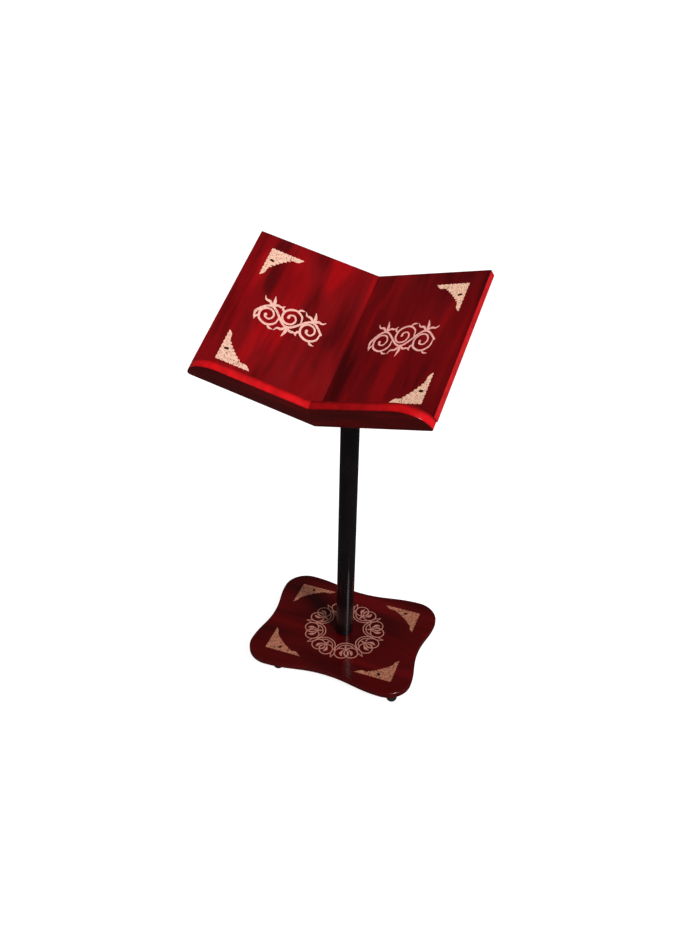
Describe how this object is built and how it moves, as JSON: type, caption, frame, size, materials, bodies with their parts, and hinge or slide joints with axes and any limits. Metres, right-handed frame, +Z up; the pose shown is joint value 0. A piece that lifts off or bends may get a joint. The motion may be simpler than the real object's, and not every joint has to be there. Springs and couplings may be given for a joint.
{
  "type": "quran stand",
  "caption": "Open-book board of two lacquered wooden leaves with curved ledges, tilting and turning on a slim round steel pole over a lobed base with rubber feet.",
  "frame": {"origin": "on the floor, under the middle of the stand's bounding box", "axes": "+Z up, +Y away from the reader, +X to the reader's right; the pole stands at X 2.9 mm, Y 33.8 mm"},
  "size_m": [0.398, 0.3195, 0.759],
  "materials": {
    "lacquered_wood": "gloss lacquer over dark red grain",
    "plain_wood": "bare beech",
    "black_tube": "satin black",
    "black_steel": "matt black",
    "zinc_steel": "zinc plated",
    "black_plastic": "moulded",
    "black_rubber": "matt",
    "cream_inlay": "cream ornament printed under the lacquer"
  },
  "bodies": {
    "base": {"base_plate": "lacquered_wood", "foot_front_left": "black_rubber", "foot_front_right": "black_rubber", "foot_back_left": "black_rubber", "foot_back_right": "black_rubber", "foot_screw_front_left": "zinc_steel", "foot_screw_front_right": "zinc_steel", "foot_screw_back_left": "zinc_steel", "foot_screw_back_right": "zinc_steel", "base_washer": "zinc_steel", "base_bolt": "zinc_steel", "pole_foot_plug": "zinc_steel", "pole_tube": "black_tube", "pole_top_bush": "black_plastic"},
    "swivel_screw": {"swivel_thumbscrew": "black_plastic"},
    "head": {"pole_head": "black_steel"},
    "board": {"board_bracket": "black_steel", "pivot_bolt": "zinc_steel", "tilt_washer": "zinc_steel", "spine_batten": "lacquered_wood", "bracket_screw_1": "zinc_steel", "bracket_screw_2": "zinc_steel", "bracket_screw_3": "zinc_steel", "bracket_screw_4": "zinc_steel", "left_leaf_screw_1": "zinc_steel", "left_leaf_screw_2": "zinc_steel", "right_leaf_screw_1": "zinc_steel", "right_leaf_screw_2": "zinc_steel", "left_leaf": "lacquered_wood", "left_ledge": "lacquered_wood", "left_ledge_dowel_1": "plain_wood", "left_ledge_dowel_2": "plain_wood", "right_leaf": "lacquered_wood", "right_ledge": "lacquered_wood", "right_ledge_dowel_1": "plain_wood", "right_ledge_dowel_2": "plain_wood"},
    "tilt_knob": {"tilt_knob": "black_plastic"}
  },
  "joints": [
    {"name": "board_swivel", "type": "hinge", "parent": "base", "child": "head", "pos_m": [0.0029, 0.0338, 0.5642], "axis": [0, 0, 1], "continuous": true},
    {"name": "board_tilt", "type": "hinge", "parent": "head", "child": "board", "pos_m": [0.0029, 0.0338, 0.5885], "axis": [0.9979, -0.0645, 0], "range_deg": [-29.3, 30]},
    {"name": "tilt_knob_turn", "type": "hinge", "parent": "board", "child": "tilt_knob", "pos_m": [0.03583, 0.03167, 0.5885], "axis": [0.9979, -0.0645, 0], "range_deg": [0, 360]},
    {"name": "swivel_screw_turn", "type": "hinge", "parent": "base", "child": "swivel_screw", "pos_m": [0.0029, 0.0614, 0.5359], "axis": [0, 1, 0], "range_deg": [0, 360]}
  ]
}
